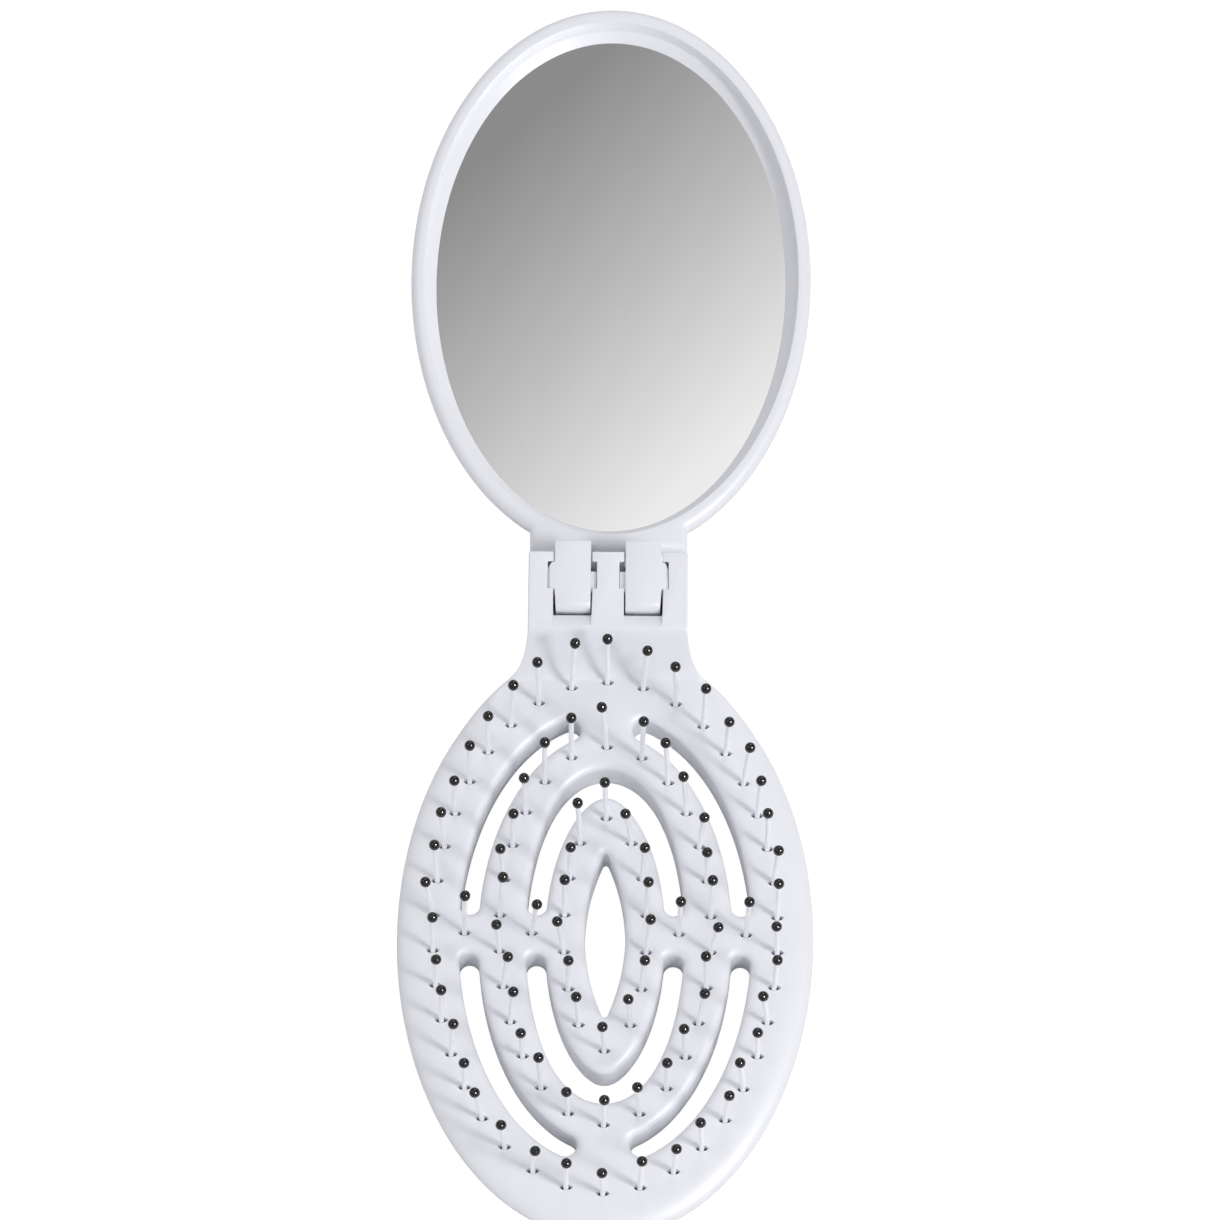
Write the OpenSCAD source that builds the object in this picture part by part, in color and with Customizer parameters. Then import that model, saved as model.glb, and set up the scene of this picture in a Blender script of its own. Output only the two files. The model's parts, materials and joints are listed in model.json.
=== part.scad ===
// Folding hairbrush with mirror, lying open on its back.
// The hinge axis runs along X above the origin. The brush lies towards -Y
// with its pins up, the mirror lid towards +Y with its glass up, and z = 0
// is the surface that both halves rest on. Millimetres.

/* [Overall] */
// Width of the brush head and of the mirror lid
oval_w = 64; // [62:0.5:80]
// Length of the brush head and of the mirror lid
oval_l = 96; // [92:0.5:120]
// From the hinge axis to the near end of each oval
neck_l = 8.1; // [7.8:0.1:12]
// Width of the neck that carries the hinge
neck_w = 24.8; // [24:0.1:30]
// Radius of the corner between the neck and the head
neck_fillet = 5.5; // [3:0.5:8]

/* [Brush head] */
// Thickness of the head, from its back to its front
head_t = 6.8; // [6.4:0.1:9]
// Thickness of the rear cover
cover_t = 2; // [1.6:0.1:2.4]
// Thickness of the front wall that the pins stand in
front_wall = 1.6; // [1.2:0.1:2]
// Thickness of the outer side wall
side_wall = 1.6; // [1.2:0.1:2]
// Thickness of the walls round the vents
vent_wall = 0.9; // [0.7:0.1:1.2]
// How far the side tucks in towards the back
tuck_in = 2.4; // [1:0.1:3]
// Reach of the rounding from the side onto the front, across the edge
edge_round = 4; // [2:0.5:5]
// Drop of that rounding, from the front down the side
edge_drop = 1.6; // [1:0.1:2]
// Width and height of the rear cover's locating lip
lip = 1; // [0.8:0.1:1.2]
// Diameter of the rear cover's posts under the pins
post_d = 1.6; // [1.2:0.1:2]

/* [Vents] */
// Width of the outer band, at the sides and at the ends
outer_band = [9.5, 11.1]; // [8.5:0.1:12]
// Width of the outer vents, at the sides and at the ends
outer_vent = [3, 3.6]; // [2:0.1:5]
// Width of the middle band, at the sides and at the ends
middle_band = [7.3, 6.2]; // [6:0.1:9]
// Width of the inner vents, at the sides and at the ends
inner_vent = [3, 4.6]; // [2:0.1:5]
// Width of the inner band, at the sides and at the ends
inner_band = [6.1, 9.2]; // [5.8:0.1:10]
// Height of the two crossbars
bar_h = 6.4; // [5.6:0.1:8]
// Width of the bridges at the top and bottom of the outer vents
bridge_w = 8; // [6:0.1:12]

/* [Pins] */
// From the front of the head to the middle of a pin's ball tip
pin_reach = 14; // [10:0.5:18]
// Diameter of a pin
pin_d = 0.8; // [0.6:0.05:1]
// Diameter of a pin's ball tip
tip_d = 1.55; // [1.2:0.05:2]
// Diameter of a pin's head, under the front wall
head_d = 2.2; // [1.6:0.1:2.6]
// Thickness of a pin's head
head_h = 0.6; // [0.4:0.1:0.8]
// Distance between neighbouring pins along a ring, before rounding to whole pins
pin_pitch = 5.8; // [5:0.1:9]
// Outer ring of pins, set in from the edge at the sides and at the ends
pin_margin = [5.54, 6.48]; // [5:0.02:7]
// Middle ring of pins, out from the middle of its band, at the sides and at the ends
middle_pin_shift = [0.4, 0.5]; // [0:0.1:1]
// Inner ring of pins, out from the middle of its band, at the sides and at the ends
inner_pin_shift = [0.2, 1]; // [0:0.1:1]
// Crossbar pins, out from the middle of the vent that they stand in line with
bar_pin_shift = 0.6; // [0:0.1:1]
// Length of the pointed opening that a pin comes out of, across the brush
eye_l = 2; // [1.9:0.1:2.3]
// Width of that opening, along the brush
eye_w = 1; // [1:0.1:1.3]
// Thickness of the rubber sheet behind the front wall
cushion_t = 0.8; // [0.5:0.1:1]
// Thickness of the backing plate behind the pin heads
backing_t = 0.8; // [0.6:0.1:1.2]

/* [Mirror lid] */
// Height of the lid's rim above its back
lid_t = 6; // [5:0.1:8]
// Rounding of the lid's straight near end
lid_end_round = 1.2; // [0.8:0.1:1.6]
// From the oval's near point in to that end
lid_end_back = 0.05; // [0.05:0.05:0.3]
// Drop from the rim's top to that end's
lid_end_drop = 0.03; // [0.02:0.01:0.1]
// Thickness of the lid's floor
floor_t = 1; // [0.8:0.1:1.6]
// Width of the rim's top, at the sides and at the ends
rim_w = [2.1, 2.8]; // [1.6:0.1:4]
// Rounding of the rim's outer edge
rim_round = 0.7; // [0.4:0.1:1]
// Width of the sloping band between the rim's wall and the glass
bezel_w = 1.9; // [1:0.1:2.6]
// Rise of that band above the glass
bezel_rise = 0.9; // [0.5:0.1:1.4]
// Thickness of the mirror glass
glass_t = 1.2; // [1:0.1:1.8]
// Thickness of the adhesive sheet behind the glass
adhesive_t = 0.1; // [0.1:0.05:0.3]
// Thickness of the plate that carries the hinge arms
plate_t = 3; // [2.4:0.1:4]

/* [Hinge] */
// Air between the ball tips and the glass when the lid is folded over
closing_gap = 4; // [1:0.1:6]
// Height of the neck's front face above the hinge axis
face_rise = 1.25; // [1:0.05:1.5]
// Width of each of the lid's two arms
arm_w = 5.6; // [4.6:0.1:6]
// Width of the post between the arms
post_w = 4.7; // [4:0.1:6]
// Length of the arms' flat face to each side of the axis
arm_reach = 5.75; // [5.5:0.05:6.2]
// Rounding of the arms' heels
heel_round = 1.4; // [0.6:0.1:2]
// Lean of the arms' legs away from the hinge, for each millimetre of height
leg_lean = 0.41; // [0.3:0.01:0.5]
// From the hinge axis to the end of the neck
ear_reach = 4; // [3.4:0.1:4.4]
// Diameter of the stubs that carry the arms in the ears
stub_d = 5; // [4.6:0.1:5.4]
// Length of those stubs
stub_l = 0.9; // [0.7:0.1:1.1]
// Flat cut off the far side of each guide stub, on the arms' inner sides
guide_cut = 1.6; // [1:0.1:2]
// Length of the guide stubs
guide_l = 0.75; // [0.5:0.05:0.9]
// Drop from the arms' face to the guide stubs' flats
guide_drop = 0.4; // [0:0.1:0.8]
// From the hinge axis to the top of the neck's slope
slope_top = 8.6; // [8.5:0.1:9.6]
// Length of the neck's slope down to the head
slope_l = 5.7; // [5:0.1:8]
// Thickness of the wall under that slope
slope_wall = 2.4; // [2:0.1:3]
// Depth of the ramp at the foot of each arm's slot
slot_ramp = 1.2; // [1:0.1:1.4]
// Length of that ramp along the neck
slot_ramp_l = 2.2; // [1.6:0.1:2.2]

/* [Fits] */
// Radial clearance of the stubs in their sockets
running_fit = 0.05; // [0.02:0.01:0.1]
// Clearance beside each arm in its slot
arm_side_gap = 0.35; // [0.2:0.05:0.5]
// Clearance between the arms' heels and the ends of their slots
heel_gap = 0.55; // [0.3:0.05:0.8]
// Gap past the end of each stub in its socket
stub_end_gap = 0.2; // [0.1:0.05:0.4]
// Gap between the neck and the lid's plate when open, where the lid stops
stop_gap = 0.15; // [0.05:0.05:0.4]
// Clearance of the pieces that lie inside the head
inside_gap = 0.15; // [0.1:0.05:0.3]
// Radial clearance of the pins in the rubber sheet
pin_fit = 0.02; // [0.01:0.01:0.05]
// Clearance of the glass in its seat
glass_gap = 0.1; // [0.05:0.05:0.3]

/* [Hidden] */

// Facets: points round an oval, along a vent's side, and round an arc's end
oval_points = 72;
vent_points = 15;
cap_points = 6;
round_fn = 48;
// A cut reaches this far past the face that it goes through
past = 1;
// Thickness of the thin slices that a hull joins
slice = 0.01;

plastic = [0.94, 0.94, 0.96];
rubber = [0.05, 0.05, 0.06];

// Heights in the head, from the back to the front
front_in = head_t - front_wall;
pin_head_top = front_in - cushion_t;
pin_foot = pin_head_top - head_h;
backing_foot = pin_foot - backing_t;
tip_z = head_t + pin_reach;
// A ball tip sits on its pin where the ball is as wide as the pin
tip_foot = tip_z - sqrt(pow(tip_d / 2, 2) - pow(pin_d / 2, 2));

// The glass and the height of the hinge that folds it over the pins
glass_foot = floor_t + adhesive_t;
glass_top = glass_foot + glass_t;
axis_z = (tip_z + tip_d / 2 + closing_gap + glass_top) / 2;
face_z = axis_z + face_rise;

// Half sizes, [across, along], counted inwards from the oval's edge
oval_r = [oval_w, oval_l] / 2;
centre_y = neck_l + oval_l / 2;
outer_vent_out = oval_r - outer_band;
outer_vent_in = outer_vent_out - outer_vent;
inner_vent_out = outer_vent_in - middle_band;
inner_vent_in = inner_vent_out - inner_vent;
eye_r = inner_vent_in - inner_band;
outer_pin_r = oval_r - pin_margin;
middle_pin_r = (outer_vent_in + inner_vent_out) / 2 + middle_pin_shift;
inner_pin_r = (inner_vent_in + eye_r) / 2 + inner_pin_shift;

// The hinge across the neck
slot_w = arm_w + 2 * arm_side_gap;
arm_x = (post_w + slot_w) / 2;
slot_end = arm_reach + heel_gap;
stub_socket_l = stub_l - arm_side_gap + stub_end_gap;
guide_socket_l = guide_l - arm_side_gap + stub_end_gap;
plate_end = ear_reach + stop_gap;

// ---- Curves ----

function ellipse_at(r, t) = [r[0] * sin(t), r[1] * cos(t)];

// Angles that part an ellipse into count equal lengths, from its +Y end
function even_angles(r, count) =
    let (steps = 180,
         points = [for (i = [0:steps]) ellipse_at(r, 360 * i / steps)],
         run = [for (i = 0, s = 0; i <= steps;
                     s = s + (i < steps ? norm(points[i + 1] - points[i]) : 0), i = i + 1) s],
         table = [for (i = [0:steps]) [run[i], 360 * i / steps]])
    [for (k = [0:count - 1]) lookup(run[steps] * k / count, table)];

function ellipse_length(r) =
    let (h = pow((r[0] - r[1]) / (r[0] + r[1]), 2))
    PI * (r[0] + r[1]) * (1 + 3 * h / (10 + sqrt(4 - 3 * h)));

// Places of one ring of pins, an even number at about the pitch
function ring_of_pins(r) =
    [for (t = even_angles(r, 2 * round(ellipse_length(r) / pin_pitch / 2))) ellipse_at(r, t)];

function crossbar_places() =
    [for (side = [-1, 1], vent = [(outer_vent_out + outer_vent_in) / 2, (inner_vent_out + inner_vent_in) / 2])
        [side * (vent[0] + bar_pin_shift), 0]];

function all_places() =
    concat(ring_of_pins(outer_pin_r), ring_of_pins(middle_pin_r), ring_of_pins(inner_pin_r), crossbar_places());

// Half width of a vent where its middle line is at the angle t
function vent_half(size, t) = (size[0] * pow(sin(t), 2) + size[1] * pow(cos(t), 2)) / 2;

// One side of a vent: side is 1 for the outer edge and -1 for the inner one
function vent_side(r, size, t, side, grow) =
    let (n = [sin(t) * r[1], cos(t) * r[0]])
    ellipse_at(r, t) + side * (vent_half(size, t) + grow) * n / norm(n);

// The round end of a vent at the angle t; way is 1 where t grows out of the vent
function vent_cap(r, size, t, way, grow) =
    let (n = [sin(t) * r[1], cos(t) * r[0]], turn = atan2(n[1], n[0]))
    [for (k = [1:cap_points - 1])
        let (a = turn - way * 180 * k / cap_points)
        ellipse_at(r, t) + (vent_half(size, t) + grow) * [cos(a), sin(a)]];

// A vent along an ellipse from the angle t0 to t1, with round ends
module vent(outer, inner, t0, t1, grow) {
    r = (outer + inner) / 2;
    size = outer - inner;
    angles = [for (k = [0:vent_points]) t0 + (t1 - t0) * k / vent_points];
    cap_start = vent_cap(r, size, t0, -1, grow);
    polygon(concat(
        [for (t = angles) vent_side(r, size, t, 1, grow)],
        vent_cap(r, size, t1, 1, grow),
        [for (k = [vent_points:-1:0]) vent_side(r, size, angles[k], -1, grow)],
        [for (k = [len(cap_start) - 1:-1:0]) cap_start[k]]));
}

// A lens with pointed ends along Y: two arcs about centres on X, grown outwards by grow
module lens(half_w, half_l, grow = 0) {
    centre = (pow(half_l, 2) - pow(half_w, 2)) / (2 * half_w);
    arc_r = centre + half_w + grow;
    end = sqrt(pow(arc_r, 2) - pow(centre, 2));
    steps = 10;
    ys = [for (k = [0:steps]) end * (2 * k / steps - 1)];
    polygon(concat(
        [for (y = ys) [sqrt(pow(arc_r, 2) - y * y) - centre, y]],
        [for (k = [steps - 1:-1:1]) [centre - sqrt(pow(arc_r, 2) - pow(ys[k], 2)), ys[k]]]));
}

// Height of the neck's front between the head and the hinge
function slope_z(y) =
    let (k = min(1, max(0, (y + slope_top + slope_l) / slope_l)))
    head_t + (face_z - head_t) * k * k * (3 - 2 * k);

// How far the brush's side lies inside the oval at the height z
function head_inset(z) =
    z < head_t - edge_drop
        ? tuck_in * pow(1 - z / (head_t - edge_drop), 2)
        : edge_round * (1 - sqrt(max(0, 1 - pow((z - head_t + edge_drop) / edge_drop, 2))));

// The same for the lid, up to its rounded rim
function lid_inset(z) =
    z < lid_t - rim_round
        ? tuck_in * pow(1 - z / (lid_t - rim_round), 2)
        : rim_round * (1 - sqrt(max(0, 1 - pow((z - lid_t + rim_round) / rim_round, 2))));

// ---- Plans ----

module oval(r) {
    polygon([for (k = [0:oval_points - 1]) ellipse_at(r, 360 * k / oval_points)]);
}

// All vents of the head, each grown outwards by grow
module vents(grow) {
    outer_mid = (outer_vent_out + outer_vent_in) / 2;
    inner_mid = (inner_vent_out + inner_vent_in) / 2;
    bridge_t = asin((bridge_w / 2 + outer_vent[1] / 2) / outer_mid[0]);
    outer_t = acos((bar_h / 2 + outer_vent[0] / 2) / outer_mid[1]);
    inner_t = acos((bar_h / 2 + inner_vent[0] / 2) / inner_mid[1]);
    for (turn = [0, 180]) rotate(turn) {
        vent(outer_vent_out, outer_vent_in, bridge_t, outer_t, grow);
        vent(outer_vent_out, outer_vent_in, -outer_t, -bridge_t, grow);
        vent(inner_vent_out, inner_vent_in, -inner_t, inner_t, grow);
    }
    lens(eye_r[0], eye_r[1], grow);
}

// The corner between the neck and the head, on the +X side
module neck_corner() {
    x = neck_w / 2;
    along = oval_r[1] * sqrt(1 - pow(x / oval_r[0], 2));
    corner = [x, along - centre_y];
    lean = atan2(along / pow(oval_r[1], 2), x / pow(oval_r[0], 2));
    reach = neck_fillet * tan(lean / 2);
    middle = [x + neck_fillet, corner[1] + reach];
    polygon(concat(
        [for (k = [0:cap_points]) let (a = 180 + lean * k / cap_points)
            middle + neck_fillet * [cos(a), sin(a)]],
        [[0, corner[1] - reach], [0, corner[1] + reach]]));
}

// The neck from inside the head to its own end, with its corners
module neck_plan() {
    foot = neck_l + outer_band[1] / 2;
    translate([-neck_w / 2, -foot]) square([neck_w, foot + ear_reach]);
    neck_corner();
    mirror([1, 0]) neck_corner();
}

// Room inside the head: inset counts from the side's foot, where it is tucked in
module head_room(inset, vent_inset) {
    difference() {
        oval(oval_r - [1, 1] * (inset + head_inset(cover_t)));
        vents(vent_inset);
    }
}

module at_brush() {
    translate([0, -centre_y, 0]) children();
}

module at_lid() {
    translate([0, centre_y, 0]) children();
}

// A solid of stacked ovals whose inset follows the height
module turned_edge(levels, insets) {
    hull() for (k = [0:len(levels) - 1])
        translate([0, 0, k == 0 ? levels[k] : levels[k] - slice])
            linear_extrude(slice) oval(oval_r - [1, 1] * insets[k]);
}

// A side profile of [y, z] points carried across the width w
module across(w) {
    rotate([90, 0, 90]) linear_extrude(w, center = true) children();
}

// ---- Brush ----

module head_front() {
    edge = head_t - edge_drop;
    levels = concat([cover_t, (cover_t + edge) / 2],
        [for (a = [0:15:75]) edge + edge_drop * sin(a)], [head_t]);
    turned_edge(levels, [for (z = levels) head_inset(z)]);
}

module neck_front() {
    foot = slope_top + slope_l;
    steps = 12;
    across(neck_w) polygon(concat(
        [[ear_reach, cover_t], [ear_reach, face_z]],
        [for (k = [0:steps]) let (y = -slope_top - slope_l * k / steps) [y, slope_z(y)]],
        [[-foot, cover_t]]));
}

// Slots for the arms: open to the front and the end, round about the axis below
module arm_slots() {
    for (side = [-1, 1]) translate([side * arm_x, 0, 0]) {
        across(slot_w) polygon([[ear_reach + past, axis_z], [ear_reach + past, face_z + past],
            [-slot_end - slot_ramp_l * (1 + past / slot_ramp), face_z + past], [-slot_end, face_z - slot_ramp],
            [-slot_end, axis_z]]);
        translate([0, 0, axis_z]) rotate([0, 90, 0])
            cylinder(h = slot_w, r = slot_end, center = true, $fn = round_fn);
    }
}

// Round sockets beside the slots, open to the front where the face cuts them
module sockets() {
    for (side = [-1, 1]) {
        socket(side * (arm_x - slot_w / 2 - guide_socket_l / 2), guide_socket_l);
        socket(side * (arm_x + slot_w / 2 + stub_socket_l / 2), stub_socket_l);
    }
}

module socket(x, l) {
    translate([x, 0, axis_z]) rotate([0, 90, 0])
        cylinder(h = l + 2 * slice, d = stub_d + 2 * running_fit, center = true, $fn = round_fn);
}

// Room under the neck's slope and under the hinge
module neck_room() {
    steps = 6;
    top = axis_z - slot_end - front_wall;
    across(neck_w - 2 * side_wall) polygon(concat(
        [[ear_reach - side_wall, 0], [ear_reach - side_wall, top], [-slot_end - side_wall, top]],
        [for (k = [0:steps]) let (y = -slot_end - side_wall - (slope_l - side_wall) * k / steps)
            [y, slope_z(y) - slope_wall]],
        [[-slope_top - slope_l, 0]]));
}

// An opening that a pin comes out of
module pin_eye() {
    linear_extrude(front_wall + 2 * past) rotate(90) lens(eye_w / 2, eye_l / 2);
}

module front_shell() {
    color(plastic) difference() {
        union() {
            at_brush() head_front();
            neck_front();
            translate([0, 0, cover_t]) linear_extrude(head_t - edge_drop - cover_t) neck_plan();
        }
        at_brush() translate([0, 0, cover_t - past]) {
            linear_extrude(head_t + 2 * past) vents(0);
            linear_extrude(front_in - cover_t + past) head_room(side_wall, vent_wall);
        }
        at_brush() for (p = all_places()) translate([p[0], p[1], front_in - past]) pin_eye();
        neck_room();
        arm_slots();
        sockets();
    }
}

module rear_cover() {
    levels = [0, cover_t / 2, cover_t];
    posts = concat(crossbar_places(), [for (side = [-1, 1], r = [outer_pin_r, middle_pin_r]) [0, side * r[1]]]);
    color(plastic) difference() {
        union() {
            at_brush() turned_edge(levels, [for (z = levels) head_inset(z)]);
            linear_extrude(cover_t) neck_plan();
            // Locating lip inside the front shell's side wall
            at_brush() translate([0, 0, cover_t]) linear_extrude(lip) difference() {
                head_room(side_wall + inside_gap, vent_wall + inside_gap);
                head_room(side_wall + inside_gap + lip, vent_wall + inside_gap);
                translate([0, oval_r[1]]) square([neck_w, outer_band[1] * 2], center = true);
            }
            // Posts that press the backing plate against the pin heads
            at_brush() for (p = posts)
                translate([p[0], p[1], cover_t]) cylinder(h = backing_foot - cover_t, d = post_d, $fn = round_fn);
        }
        at_brush() translate([0, 0, -past]) linear_extrude(cover_t + 2 * past) vents(0);
    }
}

// The sheets behind the front wall: their outline keeps clear of every wall
module inner_sheet(z, t) {
    at_brush() translate([0, 0, z]) linear_extrude(t)
        head_room(side_wall + lip + 2 * inside_gap, vent_wall + inside_gap);
}

module pin_cushion() {
    color(rubber) difference() {
        inner_sheet(pin_head_top, cushion_t);
        at_places(all_places()) translate([0, 0, pin_head_top - past])
            cylinder(h = cushion_t + 2 * past, d = pin_d + 2 * pin_fit, $fn = round_fn);
    }
}

module pin_backing() {
    color(plastic) inner_sheet(backing_foot, backing_t);
}

// One moulded pin: a flat head under the wall and a round stem to the tip
module pin() {
    rotate_extrude($fn = round_fn) polygon([[0, pin_foot], [head_d / 2, pin_foot],
        [head_d / 2, pin_head_top], [pin_d / 2, pin_head_top], [pin_d / 2, tip_foot], [0, tip_foot]]);
}

// One ball tip, flat where the pin's end meets it
module tip() {
    intersection() {
        translate([0, 0, tip_z]) sphere(d = tip_d, $fn = round_fn);
        translate([0, 0, tip_foot + tip_d / 2]) cube(tip_d, center = true);
    }
}

module at_places(places) {
    at_brush() for (p = places) translate([p[0], p[1], 0]) children();
}

module outer_pins() {
    color(plastic) at_places(ring_of_pins(outer_pin_r)) pin();
}

module middle_pins() {
    color(plastic) at_places(ring_of_pins(middle_pin_r)) pin();
}

module inner_pins() {
    color(plastic) at_places(ring_of_pins(inner_pin_r)) pin();
}

module crossbar_pins() {
    color(plastic) at_places(crossbar_places()) pin();
}

module outer_tips() {
    color(rubber) at_places(ring_of_pins(outer_pin_r)) tip();
}

module middle_tips() {
    color(rubber) at_places(ring_of_pins(middle_pin_r)) tip();
}

module inner_tips() {
    color(rubber) at_places(ring_of_pins(inner_pin_r)) tip();
}

module crossbar_tips() {
    color(rubber) at_places(crossbar_places()) tip();
}

// ---- Mirror lid ----

// Half sizes of the glass: inside the rim and the sloping band
glass_r = oval_r - rim_w - [1, 1] * (bezel_w - glass_gap);

// One arm from the side: a flat face over the axis, a round heel and a leg
module arm() {
    leg_out = arm_reach + (axis_z - lid_t) * leg_lean;
    heel_end = 180 + asin(max(0, heel_round - face_rise) / arm_reach);
    leg_start = 360 - acos(plate_end / arm_reach);
    across(arm_w) polygon(concat(
        [[arm_reach, axis_z], [arm_reach, face_z]],
        [for (k = [0:cap_points]) let (a = 90 + 90 * k / cap_points)
            [-arm_reach + heel_round + heel_round * cos(a), face_z - heel_round + heel_round * sin(a)]],
        [for (k = [1:vent_points]) let (a = heel_end + (leg_start - heel_end) * k / vent_points)
            [arm_reach * cos(a), axis_z + arm_reach * sin(a)]],
        [[plate_end, plate_t / 2], [leg_out, plate_t / 2], [leg_out, lid_t]]));
}

// The stubs of one arm; side is -1 or 1. The outer one's flat lies flush with the face.
module stubs(side) {
    stub(side, stub_l, face_z, stub_d);
    stub(-side, guide_l, face_z - guide_drop, stub_d / 2 - guide_cut);
}

// A stub on the arm's side towards way, cut flat at the height top
module stub(way, l, top, far) {
    overlap = 0.5;
    intersection() {
        translate([way * (arm_w / 2 + l / 2 - overlap / 2), 0, axis_z]) rotate([0, 90, 0])
            cylinder(h = l + overlap, d = stub_d, center = true, $fn = round_fn);
        translate([0, far - stub_d, top - stub_d]) cube(2 * stub_d, center = true);
    }
}

// The lid's near end, as wide as the neck: a straight rounded edge a little inside the oval's
module lid_end() {
    near = centre_y - oval_r[1] + lid_end_back;
    top = lid_t - lid_end_drop;
    across(neck_w) polygon(concat(
        [[centre_y, plate_t / 2], [near, plate_t / 2]],
        [for (a = [180:-15:90])
            [near + lid_end_round * (1 + cos(a)), top - lid_end_round * (1 - sin(a))]],
        [[centre_y, top]]));
}

module lid_shell() {
    levels = concat([0, lid_t / 4, lid_t / 2], [for (a = [0:30:90]) lid_t - rim_round * (1 - sin(a))]);
    rim_in = oval_r - rim_w;
    color(plastic) {
        difference() {
            union() {
                at_lid() turned_edge(levels, [for (z = levels) lid_inset(z)]);
                translate([-neck_w / 2, plate_end, 0]) cube([neck_w, centre_y - plate_end, plate_t]);
                lid_end();
            }
            at_lid() {
                // Straight wall under the rim, then the slope down to the glass
                translate([0, 0, glass_top + bezel_rise]) linear_extrude(lid_t) oval(rim_in);
                hull() {
                    translate([0, 0, glass_top + bezel_rise]) linear_extrude(slice) oval(rim_in);
                    translate([0, 0, glass_top - slice]) linear_extrude(slice) oval(rim_in - [1, 1] * bezel_w);
                }
                translate([0, 0, floor_t]) linear_extrude(lid_t) oval(glass_r + [1, 1] * glass_gap);
            }
        }
        for (side = [-1, 1]) translate([side * arm_x, 0, 0]) {
            arm();
            stubs(side);
        }
    }
}

module mirror_adhesive() {
    color("gainsboro") at_lid() translate([0, 0, floor_t]) linear_extrude(adhesive_t) oval(glass_r - [1, 1]);
}

module mirror_glass() {
    color("lightsteelblue") at_lid() translate([0, 0, glass_foot]) linear_extrude(glass_t) oval(glass_r);
}

front_shell();
rear_cover();
pin_cushion();
pin_backing();
outer_pins();
middle_pins();
inner_pins();
crossbar_pins();
outer_tips();
middle_tips();
inner_tips();
crossbar_tips();
lid_shell();
mirror_adhesive();
mirror_glass();
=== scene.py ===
"""Looks of a folding hairbrush with a mirror lid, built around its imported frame.

The brush head lies towards -Y with its pins up and the lid towards +Y with its glass up. Shapes
are worked out in millimetres and scaled as they enter a mesh. The order is that of the assembly:
front shell, rubber cushion, pins and ball tips, backing plate, rear cover, lid, mirror, studio.
"""
import json
import math
import bmesh
import bpy
import numpy as np
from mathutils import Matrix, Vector
from mathutils.geometry import delaunay_2d_cdt


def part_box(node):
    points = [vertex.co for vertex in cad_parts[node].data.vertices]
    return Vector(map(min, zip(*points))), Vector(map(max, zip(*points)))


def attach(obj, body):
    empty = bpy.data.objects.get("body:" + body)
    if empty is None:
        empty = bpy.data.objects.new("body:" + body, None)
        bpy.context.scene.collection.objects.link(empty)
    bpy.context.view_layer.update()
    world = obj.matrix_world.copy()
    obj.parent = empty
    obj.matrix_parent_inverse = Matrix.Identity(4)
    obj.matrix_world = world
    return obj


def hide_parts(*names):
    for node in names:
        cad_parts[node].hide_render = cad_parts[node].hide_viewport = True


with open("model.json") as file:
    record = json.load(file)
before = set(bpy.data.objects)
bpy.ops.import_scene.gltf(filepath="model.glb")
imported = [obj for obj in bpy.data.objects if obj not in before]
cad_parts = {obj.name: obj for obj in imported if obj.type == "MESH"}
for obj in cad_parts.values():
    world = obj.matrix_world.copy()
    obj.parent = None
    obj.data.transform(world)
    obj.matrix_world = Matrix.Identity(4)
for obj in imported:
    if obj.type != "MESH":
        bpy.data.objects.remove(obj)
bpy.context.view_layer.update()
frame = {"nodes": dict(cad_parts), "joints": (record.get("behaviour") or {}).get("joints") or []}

# ---- Front shell ----
# The front half of the brush head, one moulding of glossy white ABS: a thin wall that the pins come
# through, rings of vents with well rounded edges, and a neck that rises in an S to the hinge's face.
# Slots and round sockets for the lid's arms are moulded into the neck, open to the front.

MM = 0.001
shell_low, shell_high = (np.array(corner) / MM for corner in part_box("front_shell"))
hinge_z = frame["joints"][0]["pos_m"][2] / MM
half_length = 48.0
oval = np.array([shell_high[0], half_length])
centre = np.array([0.0, shell_low[1] + half_length])
seam_z, hinge_face_z = shell_low[2], shell_high[2]
head_z, ceiling_z, dome_drop = 6.8, 5.2, 0.25
side_wall, vent_wall = 1.6, 0.9
tuck_in = 2.4
edge_wide, edge_drop = 4.0, 1.6
shoulder, shoulder_drop = 1.5, 1.0
seam_ease = 0.12

neck_x, neck_end = 12.4, shell_high[1]
neck_fillet, neck_corner = 5.5, 0.35
slope_top, slope_length = 8.6, 5.7

# The half sizes of each ring of vents at its outer and inner rim, from their insets [across, along]
outer_vent = oval - np.array([[9.5, 11.1], [12.5, 14.7]])
inner_vent = oval - np.array([[19.8, 20.9], [22.8, 25.5]])
crossbar_height, bridge_width = 6.4, 8.0
lens_half, lens_tip = (3.1, 13.3), 0.5
eye_half, eye_tip, eye_rim = (0.5, 1.0), 0.12, 0.06


def ellipse(r, t):
    """A point of an ellipse at the angle t from +Y: r[0] sin t across and r[1] cos t along."""
    return np.stack([r[0] * np.sin(t), r[1] * np.cos(t)], -1)


def ellipse_heading(r, t):
    """The angle from +X of that ellipse's outward normal."""
    return np.arctan2(r[0] * np.cos(t), r[1] * np.sin(t))


def heading(a):
    """The unit vector at the angle a from +X."""
    return np.stack([np.cos(a), np.sin(a)], -1)


def run(start, end, count):
    """Even values from start up to, but not at, the end."""
    return np.linspace(start, end, count, endpoint=False)


def smooth(x):
    """0 below 0, 1 above 1, and 3x² - 2x³ between them."""
    x = np.clip(x, 0, 1)
    return x * x * (3 - 2 * x)


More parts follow.
